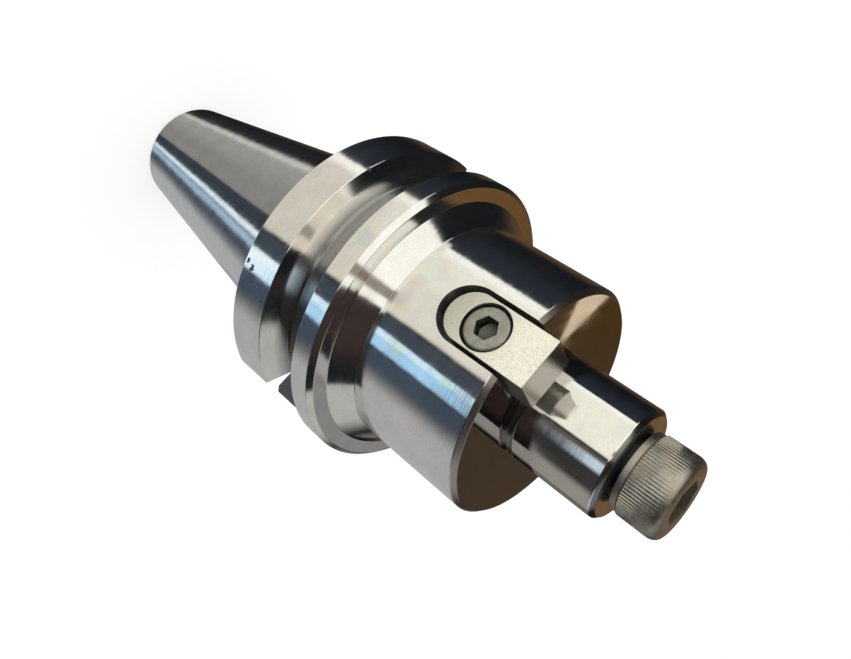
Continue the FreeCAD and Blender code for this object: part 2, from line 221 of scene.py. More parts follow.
# %% Profile of the body
def foot_round(direction):
    """Points of the round at the foot of a groove wall: the lower wall for -1, the upper one for 1."""
    pieces = 5
    sweep = math.pi / 2 - GROOVE_TILT
    half_floor = GROOVE_HALF_MOUTH - GROOVE_DEPTH * math.tan(GROOVE_TILT)
    reach = GROOVE_FOOT_RADIUS * math.tan(sweep / 2)
    middle_radius = FLANGE_RADIUS - GROOVE_DEPTH + GROOVE_FOOT_RADIUS
    middle_height = GROOVE_MIDDLE + direction * half_floor - direction * reach
    points = []
    for number in range(pieces + 1):
        angle = sweep * number / pieces
        points.append((middle_radius - GROOVE_FOOT_RADIUS * math.cos(angle),
                       middle_height + direction * GROOVE_FOOT_RADIUS * math.sin(angle)))
    return points


def body_profile():
    """The body's outline from the bottom of the stud's hole, round the outside, to the clamp screw's hole."""
    tail = -TAPER_LENGTH
    tail_radius = GAUGE_RADIUS - TAPER_LENGTH * TAPER_SLOPE
    return [
        (0, STUD_FLOOR + STUD_RADIUS * DRILL_SLOPE),
        (STUD_RADIUS, STUD_FLOOR),
        (STUD_RADIUS, tail + STUD_PILOT_DEPTH),
        (STUD_PILOT_RADIUS, tail + STUD_PILOT_DEPTH),
        (STUD_PILOT_RADIUS, tail + BORE_CHAMFER),
        (STUD_PILOT_RADIUS + BORE_CHAMFER, tail),
        (tail_radius - TAPER_CHAMFER, tail),
        (tail_radius + TAPER_CHAMFER * TAPER_SLOPE, tail + TAPER_CHAMFER),
        (GAUGE_RADIUS, 0),
        (RELIEF_RADIUS, RELIEF_START),
        (RELIEF_RADIUS, FLANGE_BACK),
        (FLANGE_RADIUS - FLANGE_CHAMFER, FLANGE_BACK),
        (FLANGE_RADIUS, FLANGE_BACK + FLANGE_CHAMFER),
        (FLANGE_RADIUS, GROOVE_MIDDLE - GROOVE_HALF_MOUTH),
        *reversed(foot_round(-1)),
        *foot_round(1),
        (FLANGE_RADIUS, GROOVE_MIDDLE + GROOVE_HALF_MOUTH),
        (FLANGE_RADIUS, FLANGE_FRONT - FLANGE_CHAMFER),
        (FLANGE_RADIUS - FLANGE_CHAMFER, FLANGE_FRONT),
        (BODY_RADIUS + FLARE, FLANGE_FRONT),
        (BODY_RADIUS, FLANGE_FRONT + FLARE),
        (BODY_RADIUS, SHOULDER - SHOULDER_CHAMFER),
        (BODY_RADIUS - SHOULDER_CHAMFER, SHOULDER),
        (SPIGOT_RADIUS - UNDERCUT_DEPTH, SHOULDER),
        (SPIGOT_RADIUS - UNDERCUT_DEPTH, SHOULDER + UNDERCUT_FLAT_TOP),
        (SPIGOT_RADIUS, SHOULDER + UNDERCUT_TOP),
        (SPIGOT_RADIUS, SPIGOT_END - SPIGOT_CHAMFER),
        (SPIGOT_RADIUS - SPIGOT_CHAMFER, SPIGOT_END),
        (CLAMP_BORE_RADIUS + BORE_CHAMFER, SPIGOT_END),
        (CLAMP_BORE_RADIUS, SPIGOT_END - BORE_CHAMFER),
        (CLAMP_BORE_RADIUS, CLAMP_BORE_FLOOR),
        (0, CLAMP_BORE_FLOOR - CLAMP_BORE_RADIUS * DRILL_SLOPE),
    ]


# %% Spin the body
body = lathe("arbor_steel", body_profile(), steps=256, broken_edge=BROKEN_EDGE)

# %% [markdown]
# ## Slots
# Two slots take the keys, open at the shoulder and round at the other end, as an end mill leaves them.
# Two square slots in the flange's back band take the spindle's own keys. Each is cut with a solid of the
# milling cutter's path. The cutter carries a material of its own, and a Boolean modifier can hand it on to
# the faces that it cuts. So the slots stay matt, with painted shade that darkens them in the flange, while
# the outside is ground.

# %% Steels that only need a name yet
ground_steel = bpy.data.materials.new("ground_steel")
milled_steel = bpy.data.materials.new("milled_steel")
key_screw_steel = bpy.data.materials.new("key_screw_steel")
clamp_screw_steel = bpy.data.materials.new("clamp_screw_steel")


def dress(piece, *materials):
    """Gives a piece its materials."""
    piece.data.materials.clear()
    for material in materials:
        piece.data.materials.append(material)


# %% Sizes of the slots
KEY_SEAT = 14.5
KEY_SLOT_HALF_WIDTH = 5.75
KEY_SLOT_ROUND_CENTRE = 45.05
DRIVE_SLOT_HALF_WIDTH = 8.05
DRIVE_SLOT_FLOOR = 22.5
DRIVE_SLOT_TOP = 18.713
CUTTER_BOTTOM = -1.0
CUTTER_REACH = 25


# %% A solid with one round end
def stadium(name, half_width, round_centre, side, inner, outer):
    """A disc across the Y axis whose upper half is pulled along Z, thickened from inner to outer."""
    let_go()
    bpy.ops.mesh.primitive_circle_add(
        vertices=96, radius=half_width * MM, fill_type="NGON", rotation=(math.pi / 2, 0, 0),
        location=(0, side * inner * MM, round_centre * MM))
    solid = bpy.context.object
    solid.name = solid.data.name = name
    settle(solid)
    bpy.ops.object.mode_set(mode="EDIT")
    pick(solid, "vertices", lambda vertex: vertex.co.z > round_centre * MM + TINY)
    bpy.ops.transform.translate(value=(0, 0, CUTTER_REACH * MM))
    bpy.ops.mesh.select_all(action="SELECT")
    bpy.ops.mesh.extrude_region_move(TRANSFORM_OT_translate={"value": (0, side * (outer - inner) * MM, 0)})
    bpy.ops.mesh.select_all(action="SELECT")
    bpy.ops.mesh.normals_make_consistent(inside=False)
    bpy.ops.object.mode_set(mode="OBJECT")
    return solid


# %% Cut the slots
def key_slot_cutter(side):
    """The end mill's path for the slot on side 1 (+Y) or -1 (-Y)."""
    return stadium("cutter", KEY_SLOT_HALF_WIDTH, KEY_SLOT_ROUND_CENTRE, side, KEY_SEAT, KEY_SEAT + 15)


def drive_slot_cutter(side):
    """The milling cutter's path for the slot on side 1 (+X) or -1 (-X)."""
    inner, outer = DRIVE_SLOT_FLOOR, FLANGE_RADIUS + 5
    let_go()
    bpy.ops.mesh.primitive_cube_add(
        size=MM, location=(side * (inner + outer) / 2 * MM, 0, (CUTTER_BOTTOM + DRIVE_SLOT_TOP) / 2 * MM),
        scale=(outer - inner, 2 * DRIVE_SLOT_HALF_WIDTH, DRIVE_SLOT_TOP - CUTTER_BOTTOM))
    cutter = bpy.context.object
    settle(cutter)
    return cutter


dress(body, ground_steel)
for side in (1, -1):
    for make_cutter in (key_slot_cutter, drive_slot_cutter):
        cutter = make_cutter(side)
        dress(cutter, milled_steel)
        carve(body, cutter)
smooth(body)
print("With its slots the body has", len(body.data.polygons), "faces and the steels",
      [material.name for material in body.data.materials])

# %% [markdown]
# ## Thread for the pull stud
# The hole in the small end is tapped for a pull stud. A thread is a ridge that climbs one pitch a turn. The
# Screw modifier spins a small four-sided section and lifts it as it goes, which is just what a lathe's lead
# screw does to the tool. The same helper winds the clamp screw's thread later.

# %% Sizes of the threads
THREAD_FOOT = 0.44
THREAD_TOP = 0.07
THREAD_SINK = 0.06
STUD_PITCH = 2.0
STUD_CREST = 6.95
STUD_THREAD_INSET = 8.5


# %% Wind a thread
def thread_ridge(name, root, crest, pitch, low, turns, steps):
    """A helical ridge from its root radius, a little sunk in, to its crest radius, with both ends closed."""
    sunk_root = root - math.copysign(THREAD_SINK, crest - root)
    foot = THREAD_FOOT * pitch
    top = THREAD_TOP * pitch
    section = [(sunk_root, -foot), (crest, -top), (crest, top), (sunk_root, foot)]
    ridge = draw_profile(name, [(radius, low + height) for radius, height in section])
    bpy.ops.mesh.select_all(action="SELECT")
    bpy.ops.mesh.edge_face_add()
    bpy.ops.mesh.delete(type="ONLY_FACE")
    bpy.ops.object.mode_set(mode="OBJECT")
    apply_modifier(ridge, "SCREW", axis="Z", angle=TURN, screw_offset=pitch * MM, iterations=turns,
                   steps=steps, render_steps=steps, use_normal_calculate=True)
    bpy.ops.object.mode_set(mode="EDIT")
    bpy.ops.mesh.select_all(action="SELECT")
    bpy.ops.mesh.remove_doubles(threshold=1e-7)
    bpy.ops.mesh.fill_holes(sides=0)
    bpy.ops.mesh.select_all(action="SELECT")
    bpy.ops.mesh.normals_make_consistent(inside=False)
    bpy.ops.object.mode_set(mode="OBJECT")
    smooth(ridge)
    print(name, "has", len(ridge.data.polygons), "faces")
    return ridge


stud_thread = thread_ridge("pull_stud_thread", STUD_RADIUS, STUD_CREST, STUD_PITCH,
                           low=-TAPER_LENGTH + STUD_THREAD_INSET, turns=10, steps=64)

# %% [markdown]
# ## Socket screws
# Three cap screws hold things together: a small one in each key and the large one in the nose. Each is
# turned, and a six-sided solid and a drill's point cut its socket.


# %% A socket
def cut_socket(piece, finish, across_flats, top, depth):
    """A hexagon socket with a conical bottom in the top of an upright screw."""
    corner = across_flats / math.sqrt(3)
    let_go()
    bpy.ops.mesh.primitive_cylinder_add(
        vertices=6, radius=corner * MM, depth=2 * depth * MM, location=(0, 0, top * MM))
    dress(bpy.context.object, finish)
    carve(piece, bpy.context.object)
    point = across_flats / 2 * DRILL_SLOPE
    let_go()
    bpy.ops.mesh.primitive_cone_add(
        vertices=96, radius1=0, radius2=across_flats / 2 * MM, depth=point * MM,
        location=(0, 0, (top - depth - point / 2 + 0.01) * MM))
    dress(bpy.context.object, finish)
    carve(piece, bpy.context.object)


# %% [markdown]
# ## The key screws
# A key screw's head sits in its counterbore, just below the key's top. Its edge is rounded well over.

# %% Sizes of the key screw
KEY_SCREW_HEIGHT = 48.6
KEY_HEAD_SEAT = 17.75
KEY_HEAD_HEIGHT = 5.0
KEY_HEAD_RADIUS = 4.17
KEY_SHANK_RADIUS = 2.5
KEY_SHANK_LENGTH = 10.0
KEY_HEX = 4.0
KEY_HEX_DEPTH = 2.5
KEY_HEAD_ROUND = 0.5
KEY_SHANK_CHAMFER = 0.5


# %% Make the key screws
def quarter_round(outer, top, radius, pieces):
    """Points of a rounded top edge, from the side up to the flat."""
    angles = [math.pi / 2 * number / pieces for number in range(pieces + 1)]
    return [(outer - radius + radius * math.cos(angle), top - radius + radius * math.sin(angle))
            for angle in angles]


def key_screw(name, side):
    """A socket screw with its head outwards on side 1 (+Y) or -1 (-Y)."""
    screw = lathe(name, [
        (0, -KEY_SHANK_LENGTH),
        (KEY_SHANK_RADIUS - KEY_SHANK_CHAMFER, -KEY_SHANK_LENGTH),
        (KEY_SHANK_RADIUS, -KEY_SHANK_LENGTH + KEY_SHANK_CHAMFER),
        (KEY_SHANK_RADIUS, 0),
        (KEY_HEAD_RADIUS - 0.1, 0),
        (KEY_HEAD_RADIUS, 0.4),
        *quarter_round(KEY_HEAD_RADIUS, KEY_HEAD_HEIGHT, KEY_HEAD_ROUND, 5),
        (0, KEY_HEAD_HEIGHT),
    ], steps=96)
    dress(screw, key_screw_steel)
    cut_socket(screw, key_screw_steel, KEY_HEX, KEY_HEAD_HEIGHT, KEY_HEX_DEPTH)
    screw.rotation_euler = Euler((-side * math.pi / 2, 0, 0))
    screw.location = (0, side * KEY_HEAD_SEAT * MM, KEY_SCREW_HEIGHT * MM)
    settle(screw)
    smooth(screw)
    return screw


SIDES = {"a": 1, "b": -1}
key_screws = {letter: key_screw("socket_screw_" + letter, side) for letter, side in SIDES.items()}

# %% [markdown]
# ## The drive keys
# A key is a block of hardened steel, round at the end that an end mill's slot leaves round and square at
# the nose that drives the cutter. A counterbored hole takes its screw. The stadium helper gives the shape,
# a bisect cuts the nose square, and a Bevel modifier eases every edge after the hole is in.

# %% Sizes of the key
KEY_HALF_WIDTH = 5.0
KEY_TOP = 23.0
KEY_ROUND_CENTRE = 45.4
KEY_NOSE = 60.4
COUNTERBORE_RADIUS = 4.5
KEY_HOLE_RADIUS = 2.75
KEY_EASED_EDGE = 0.22


# %% Make the keys
def drill(piece, radius, side, near, far):
    """Drills a round hole across the Y axis, on the key screw's line."""
    let_go()
    bpy.ops.mesh.primitive_cylinder_add(
        vertices=96, radius=radius * MM, depth=(far - near) * MM, rotation=(math.pi / 2, 0, 0),
        location=(0, side * (near + far) / 2 * MM, KEY_SCREW_HEIGHT * MM))
    carve(piece, bpy.context.object)


def drive_key(name, side):
    """The key on side 1 (+Y) or -1 (-Y)."""
    key = stadium(name, KEY_HALF_WIDTH, KEY_ROUND_CENTRE, side, KEY_SEAT, KEY_TOP)
    take(key)
    bpy.ops.object.mode_set(mode="EDIT")
    bpy.ops.mesh.select_all(action="SELECT")
    bpy.ops.mesh.bisect(plane_co=(0, 0, KEY_NOSE * MM), plane_no=(0, 0, 1), clear_outer=True, use_fill=True)
    bpy.ops.mesh.select_all(action="SELECT")
    bpy.ops.mesh.normals_make_consistent(inside=False)
    bpy.ops.object.mode_set(mode="OBJECT")
    drill(key, COUNTERBORE_RADIUS, side, KEY_HEAD_SEAT, KEY_TOP + 1)
    drill(key, KEY_HOLE_RADIUS, side, KEY_SEAT - 1, KEY_HEAD_SEAT + 1)
    apply_modifier(key, "BEVEL", width=KEY_EASED_EDGE * MM, segments=3, limit_method="ANGLE",
                   angle_limit=math.radians(50))
    smooth(key)
    print(name, "has", len(key.data.polygons), "faces")
    return key


drive_keys = {letter: drive_key("hardened_key_" + letter, side) for letter, side in SIDES.items()}

# %% [markdown]
# ## The clamp screw
# Its head is knurled with fine straight ridges. The head is spun with four steps to a ridge, and then two
# of each four columns of points are pushed in to the bottom of the grooves, ring by ring. The grooves get
# shallower towards the crown, where handling has worn them smooth. Below the knurl is a plain collar, and
# below that a narrow neck, which shows as a dark line between the screw and the spigot, deepened by painted
# shade.

# %% Sizes of the clamp screw
CLAMP_SEAT = 75.0
CLAMP_HEAD_RADIUS = 8.0
CLAMP_HEAD_HEIGHT = 10.0
CLAMP_NECK_RADIUS = 6.5
CLAMP_NECK_HEIGHT = 0.8
CLAMP_COLLAR_RADIUS = 7.72
CLAMP_COLLAR_TOP = 2.1
KNURL_START = 2.4
CLAMP_CROWN = 1.9
CLAMP_HEX = 8.0
CLAMP_HEX_DEPTH = 5.0
CLAMP_SHANK_RADIUS = 5.0
CLAMP_SHANK_LENGTH = 25.0
CLAMP_EDGE = 0.1
CROWN_FLATNESS = 0.75
THREAD_PITCH = 1.5
THREAD_ROOT = 4.08
RIDGES = 80
GROOVE_AT_COLLAR = 0.2
GROOVE_AT_CROWN = 0.05
GROOVE_RUNOUT = 0.5


# %% Turn the clamp screw
def clamp_profile():
    """The clamp screw's outline with its shank at the bottom of the thread."""
    knurl_end = CLAMP_HEAD_HEIGHT - CLAMP_CROWN
    rows = 6
    knurl = [(CLAMP_HEAD_RADIUS, KNURL_START + (knurl_end - KNURL_START) * row / rows) for row in range(rows)]
    crown = quarter_round(CLAMP_HEAD_RADIUS, CLAMP_HEAD_HEIGHT, CLAMP_CROWN, 8)
    crown = [(CLAMP_HEAD_RADIUS - (CLAMP_HEAD_RADIUS - radius) * CROWN_FLATNESS, height)
             for radius, height in crown]
    return [
        (0, -CLAMP_SHANK_LENGTH),
        (THREAD_ROOT - CLAMP_EDGE, -CLAMP_SHANK_LENGTH),
        (THREAD_ROOT, -CLAMP_SHANK_LENGTH + CLAMP_EDGE),
        (THREAD_ROOT, -1.6),
        (CLAMP_SHANK_RADIUS, -0.9),
        (CLAMP_SHANK_RADIUS, 0),
        (CLAMP_NECK_RADIUS, 0),
        (CLAMP_NECK_RADIUS, CLAMP_NECK_HEIGHT),
        (CLAMP_COLLAR_RADIUS - 0.15, CLAMP_NECK_HEIGHT),
        (CLAMP_COLLAR_RADIUS, CLAMP_NECK_HEIGHT + 0.15),
        (CLAMP_COLLAR_RADIUS, CLAMP_COLLAR_TOP - CLAMP_EDGE),
        (CLAMP_COLLAR_RADIUS - 0.12, CLAMP_COLLAR_TOP),
        *knurl,
        *crown,
        (0, CLAMP_HEAD_HEIGHT),
    ]


clamp = lathe("clamp_screw_steel", clamp_profile(), steps=4 * RIDGES)


def press_knurl(piece):
    """Pushes two of each four columns of points in to the bottom of the knurl's grooves."""
    step = TURN / (4 * RIDGES)
    crown_start = (CLAMP_HEAD_HEIGHT - CLAMP_CROWN) * MM
    start = KNURL_START * MM
    heights = sorted({round(vertex.co.z, 7) for vertex in piece.data.vertices
                      if start - TINY < vertex.co.z < crown_start + GROOVE_RUNOUT * MM
                      and vertex.co.xy.length > CLAMP_COLLAR_RADIUS * MM})
    take(piece)
    bpy.ops.object.mode_set(mode="EDIT")
    for height in heights:
        share = min(1.0, (height - start) / (crown_start - start))
        depth = GROOVE_AT_COLLAR + (GROOVE_AT_CROWN - GROOVE_AT_COLLAR) * share

        def in_groove(vertex):
            column = round(math.atan2(vertex.co.y, vertex.co.x) / step) % 4
            return (abs(vertex.co.z - height) < TINY and vertex.co.xy.length > CLAMP_COLLAR_RADIUS * MM
                    and column in (2, 3))

        pick(piece, "vertices", in_groove)
        factor = 1 - depth / CLAMP_HEAD_RADIUS
        bpy.ops.transform.resize(value=(factor, factor, 1), center_override=(0, 0, 0))
    bpy.ops.object.mode_set(mode="OBJECT")
    print("The knurl has", RIDGES, "ridges in", len(heights), "rings")


press_knurl(clamp)
dress(clamp, clamp_screw_steel)
cut_socket(clamp, clamp_screw_steel, CLAMP_HEX, CLAMP_HEAD_HEIGHT, CLAMP_HEX_DEPTH)
clamp.location = (0, 0, CLAMP_SEAT * MM)
settle(clamp)
smooth(clamp, 32)
clamp_thread = thread_ridge("clamp_screw_thread", THREAD_ROOT, CLAMP_SHANK_RADIUS - 0.03, THREAD_PITCH,
                            low=CLAMP_SEAT - CLAMP_SHANK_LENGTH + 0.8, turns=14, steps=48)

# %% [markdown]
# ## Steel
# Bare steel has no colour of its own that shows: it is a mirror, blurred and bent by the marks of the
# tool. So the material is fully metallic and the work goes into those marks. A ground cylinder carries
# thousands of fine rings. They are drawn as noise along one coordinate, a mix of height and radius, so
# that they run round the axis on cylinders, cones and flat faces alike.


# %% Node helpers
def add_node(tree, kind, inputs=None, **settings):
    """Adds a node, sets its properties, and sets or links its inputs by name or number."""
    node = tree.nodes.new(kind)
    for name, setting in settings.items():
        setattr(node, name, setting)
    for name, source in (inputs or {}).items():
        socket = node.inputs[name]
        if isinstance(source, bpy.types.NodeSocket):
            tree.links.new(source, socket)
        else:
            socket.default_value = source
    return node


def maths(tree, operation, first, second=None, third=None):
    """One Math node. Returns its output."""
    inputs = {0: first}
    if second is not None:
        inputs[1] = second
    if third is not None:
        inputs[2] = third
    return add_node(tree, "ShaderNodeMath", inputs, operation=operation).outputs[0]


def blend(tree, share, first, second, kind="MIX"):
    """A mix of two colours by a share."""
    return add_node(tree, "ShaderNodeMix", {0: share, 6: first, 7: second},
                    data_type="RGBA", blend_type=kind).outputs[2]


def spread(tree, value, low, high, to_low=0.0, to_high=1.0):
    """Stretches a value from one range to another, held at both ends."""
    node = add_node(tree, "ShaderNodeMapRange",
                    {"Value": value, "From Min": low, "From Max": high, "To Min": to_low, "To Max": to_high})
    return node.outputs["Result"]


def noise(tree, place, scale, detail=3.0, roughness=0.55, **settings):
    """A noise value between 0 and 1."""
    return add_node(tree, "ShaderNodeTexNoise",
                    {"Vector": place, "Scale": scale, "Detail": detail, "Roughness": roughness},
                    **settings).outputs["Fac"]


def new_group(name, inputs, outputs):
    """A shader node group with named sockets: inputs maps a name to its starting value."""
    group = bpy.data.node_groups.new(name, "ShaderNodeTree")
    for label, start in inputs.items():
        group.interface.new_socket(label, in_out="INPUT", socket_type="NodeSocketFloat").default_value = start
    for label, kind in outputs.items():
        group.interface.new_socket(label, in_out="OUTPUT", socket_type=kind)
    return group, group.nodes.new("NodeGroupInput"), group.nodes.new("NodeGroupOutput")


def use_group(tree, group, **inputs):
    """Places a node group in a material with values of its own. Returns its outputs."""
    node = tree.nodes.new("ShaderNodeGroup")
    node.node_tree = group
    for name, number in inputs.items():
        node.inputs[name].default_value = number
    return node.outputs


# %% Turning marks
def make_turning_marks():
    """Fine rings round the axis and a faint waviness as a height, and slower bands of rings as a value."""
    group, entry, leave = new_group(
        "turning_marks", {"Fine": 2700.0, "Coarse": 620.0, "Around": 2.0, "Wave": 6.0},
        {"Height": "NodeSocketFloat", "Bands": "NodeSocketFloat"})
    place = add_node(group, "ShaderNodeTexCoord").outputs["Object"]
    parts = add_node(group, "ShaderNodeSeparateXYZ", {0: place}).outputs
    flat = add_node(group, "ShaderNodeCombineXYZ", {0: parts[0], 1: parts[1]}).outputs[0]
    radius = add_node(group, "ShaderNodeVectorMath", {0: flat}, operation="LENGTH").outputs["Value"]
    along = maths(group, "MULTIPLY_ADD", radius, 0.37, parts[2])
    facing = add_node(group, "ShaderNodeVectorMath", {0: flat}, operation="NORMALIZE").outputs[0]
    drift = add_node(group, "ShaderNodeVectorMath", {0: facing, "Scale": entry.outputs["Around"]},
                     operation="SCALE").outputs[0]
    fine = noise(group, drift, 1.0, 2.0, 0.6, noise_dimensions="4D")
    coarse = noise(group, drift, 1.0, 3.0, 0.6, noise_dimensions="4D")
    for value, label in ((fine, "Fine"), (coarse, "Coarse")):
        group.links.new(maths(group, "MULTIPLY", along, entry.outputs[label]), value.node.inputs["W"])
    wave = maths(group, "MULTIPLY", noise(group, place, 130.0, 1.0), entry.outputs["Wave"])
    rings = maths(group, "MULTIPLY_ADD", coarse, 1.5, fine)
    group.links.new(maths(group, "ADD", rings, wave), leave.inputs["Height"])
    group.links.new(coarse, leave.inputs["Bands"])
    return group


TURNING_MARKS = make_turning_marks()


# %% Mottle
def make_mottle():
    """Soft blotches and fine grain, each between 0 and 1, as skin oil and handling leave on steel."""
    group, entry, leave = new_group(
        "mottle", {"Blotch": 220.0, "Grain": 2600.0},
        {"Blotches": "NodeSocketFloat", "Grains": "NodeSocketFloat"})
    place = add_node(group, "ShaderNodeTexCoord").outputs["Object"]
    blotch = noise(group, place, entry.outputs["Blotch"], 4.0)
    grain = noise(group, place, entry.outputs["Grain"], 3.0, 0.6)
    group.links.new(spread(group, blotch, 0.32, 0.68), leave.inputs["Blotches"])
    group.links.new(spread(group, grain, 0.3, 0.7), leave.inputs["Grains"])
    return group


MOTTLE = make_mottle()

# %% [markdown]
# A thin film of oil splits the light, so a ground face shows faint patches of yellow, rose and blue. And a
# tool that has been carried about has small dings on its flange. Both are groups, so that each steel can
# take as much of them as it needs.

# %% Oil film
OIL_TINTS = (
    (0.34, (1.00, 1.00, 1.00)),
    (0.43, (1.00, 0.90, 0.62)),
    (0.49, (1.00, 0.80, 0.78)),
    (0.55, (0.80, 0.82, 1.00)),
    (0.61, (0.78, 0.97, 0.92)),
    (0.68, (1.00, 0.95, 0.80)),
)
OIL_SPOTS = (
    # x, y, z and radius in millimetres
    (-1.2, 31.5, 23.5, 4.5),
    (2.0, 24.0, 33.5, 5.5),
    (-5.2, 23.4, 33.0, 4.0),
    (10.0, 29.8, 24.0, 3.5),
    (23.0, -6.0, 44.0, 6.0),
    (-17.0, -17.0, 40.0, 6.0),
    (-14.0, -8.0, -28.0, 6.0),
    (-11.5, 21.1, 37.0, 5.0),
    (-12.5, 20.5, 48.0, 6.0),
)


def nearness(group, place, spots, full, rim):
    """The largest, over some spots, of a value that falls from full at a spot's middle to rim at its edge."""
    nearest = 0.0
    for x, y, z, radius in spots:
        distance = add_node(group, "ShaderNodeVectorMath", {0: place, 1: (x * MM, y * MM, z * MM)},
                            operation="DISTANCE").outputs["Value"]
        nearest = maths(group, "MAXIMUM", nearest, spread(group, distance, 0.0, radius * MM, full, rim))
    return nearest


def make_oil_film():
    """A colour to multiply a steel by: white, with patches of pale spectral tints at the spots."""
    group, entry, leave = new_group("oil_film", {"Hue": 210.0, "Amount": 0.7}, {"Tint": "NodeSocketColor"})
    place = add_node(group, "ShaderNodeTexCoord").outputs["Object"]
    ramp = add_node(group, "ShaderNodeValToRGB", {"Fac": noise(group, place, entry.outputs["Hue"], 1.5)})
    stops = ramp.color_ramp.elements
    while len(stops) < len(OIL_TINTS):
        stops.new(0.5)
    for stop, (position, tint) in zip(stops, OIL_TINTS):
        stop.position = position
        stop.color = (*tint, 1)
    spots = nearness(group, place, OIL_SPOTS, 1.0, 0.0)
    patch = spread(group, maths(group, "ADD", spots, noise(group, place, 260.0, 2.0)), 0.75, 1.25)
    share = maths(group, "MULTIPLY", patch, entry.outputs["Amount"])
    group.links.new(blend(group, share, (1, 1, 1, 1), ramp.outputs["Color"]), leave.inputs["Tint"])
    return group


OIL_FILM = make_oil_film()

# %% Dings
DINGS = (
    # x, y, z and radius in millimetres
    (-16.7, 26.7, 5.4, 1.3),
    (-18.3, 25.6, 8.4, 0.9),
    (-16.1, 27.1, 3.9, 1.0),
    (-18.6, 25.4, 6.4, 0.8),
    (10.9, 29.6, 11.7, 1.1),
    (-20.3, 24.1, 10.4, 0.7),
    (-12.4, 28.9, 22.6, 0.7),
    (24.0, -20.4, 24.0, 1.1),
    (-8.0, -30.4, 5.0, 1.3),
    (31.0, 5.0, 23.0, 0.9),
)


def make_dings():
    """A mask that is 1 in small ragged spots where the flange has been knocked."""
    group, entry, leave = new_group("dings", {"Ragged": 1700.0}, {"Mask": "NodeSocketFloat"})
    place = add_node(group, "ShaderNodeTexCoord").outputs["Object"]
    ragged = noise(group, place, entry.outputs["Ragged"], 2.0)
    edge = maths(group, "SUBTRACT", nearness(group, place, DINGS, 0.85, 0.1), ragged)
    group.links.new(spread(group, edge, 0.0, 0.05), leave.inputs["Mask"])
    return group


DING_MARKS = make_dings()


# %% A steel
def start_steel(material, roughness, anisotropic=0.0):
    """Sets a material up as metal. The marks run round the axis, so the gloss is turned by a quarter."""
    material.use_nodes = True
    tree = material.node_tree
    shader = tree.nodes["Principled BSDF"]
    shader.inputs["Metallic"].default_value = 1.0
    shader.inputs["Roughness"].default_value = roughness
    if anisotropic:
        shader.inputs["Anisotropic"].default_value = anisotropic
        shader.inputs["Anisotropic Rotation"].default_value = 0.25
    return tree, shader


def emboss(tree, shader, height, strength, distance):
    """Adds a Bump node in millimetres between a height and the shader."""
    bump = add_node(tree, "ShaderNodeBump",
                    {"Height": height, "Strength": strength, "Distance": distance * MM})
    tree.links.new(bump.outputs["Normal"], shader.inputs["Normal"])


# %% Where on the body
def place_along(tree):
    """The distance from the axis and the height of the point that is shaded."""
    place = add_node(tree, "ShaderNodeTexCoord").outputs["Object"]
    parts = add_node(tree, "ShaderNodeSeparateXYZ", {0: place}).outputs
    flat = add_node(tree, "ShaderNodeCombineXYZ", {0: parts[0], 1: parts[1]}).outputs[0]
    return add_node(tree, "ShaderNodeVectorMath", {0: flat}, operation="LENGTH").outputs["Value"], parts[2]


def from_middle(tree, axis):
    """The distance of the point that is shaded from the plane through the middle, across the axis x or y."""
    place = add_node(tree, "ShaderNodeTexCoord").outputs["Object"]
    parts = add_node(tree, "ShaderNodeSeparateXYZ", {0: place}).outputs
    return maths(tree, "ABSOLUTE", parts["xy".index(axis)])


def within(tree, *limits):
    """A mask that is 1 inside all its limits. Each is a value, and where it rises from 0 to 1, in mm."""
    mask = 1.0
    for value, outside, inside in limits:
        mask = maths(tree, "MULTIPLY", mask, spread(tree, value, outside * MM, inside * MM))
    return mask


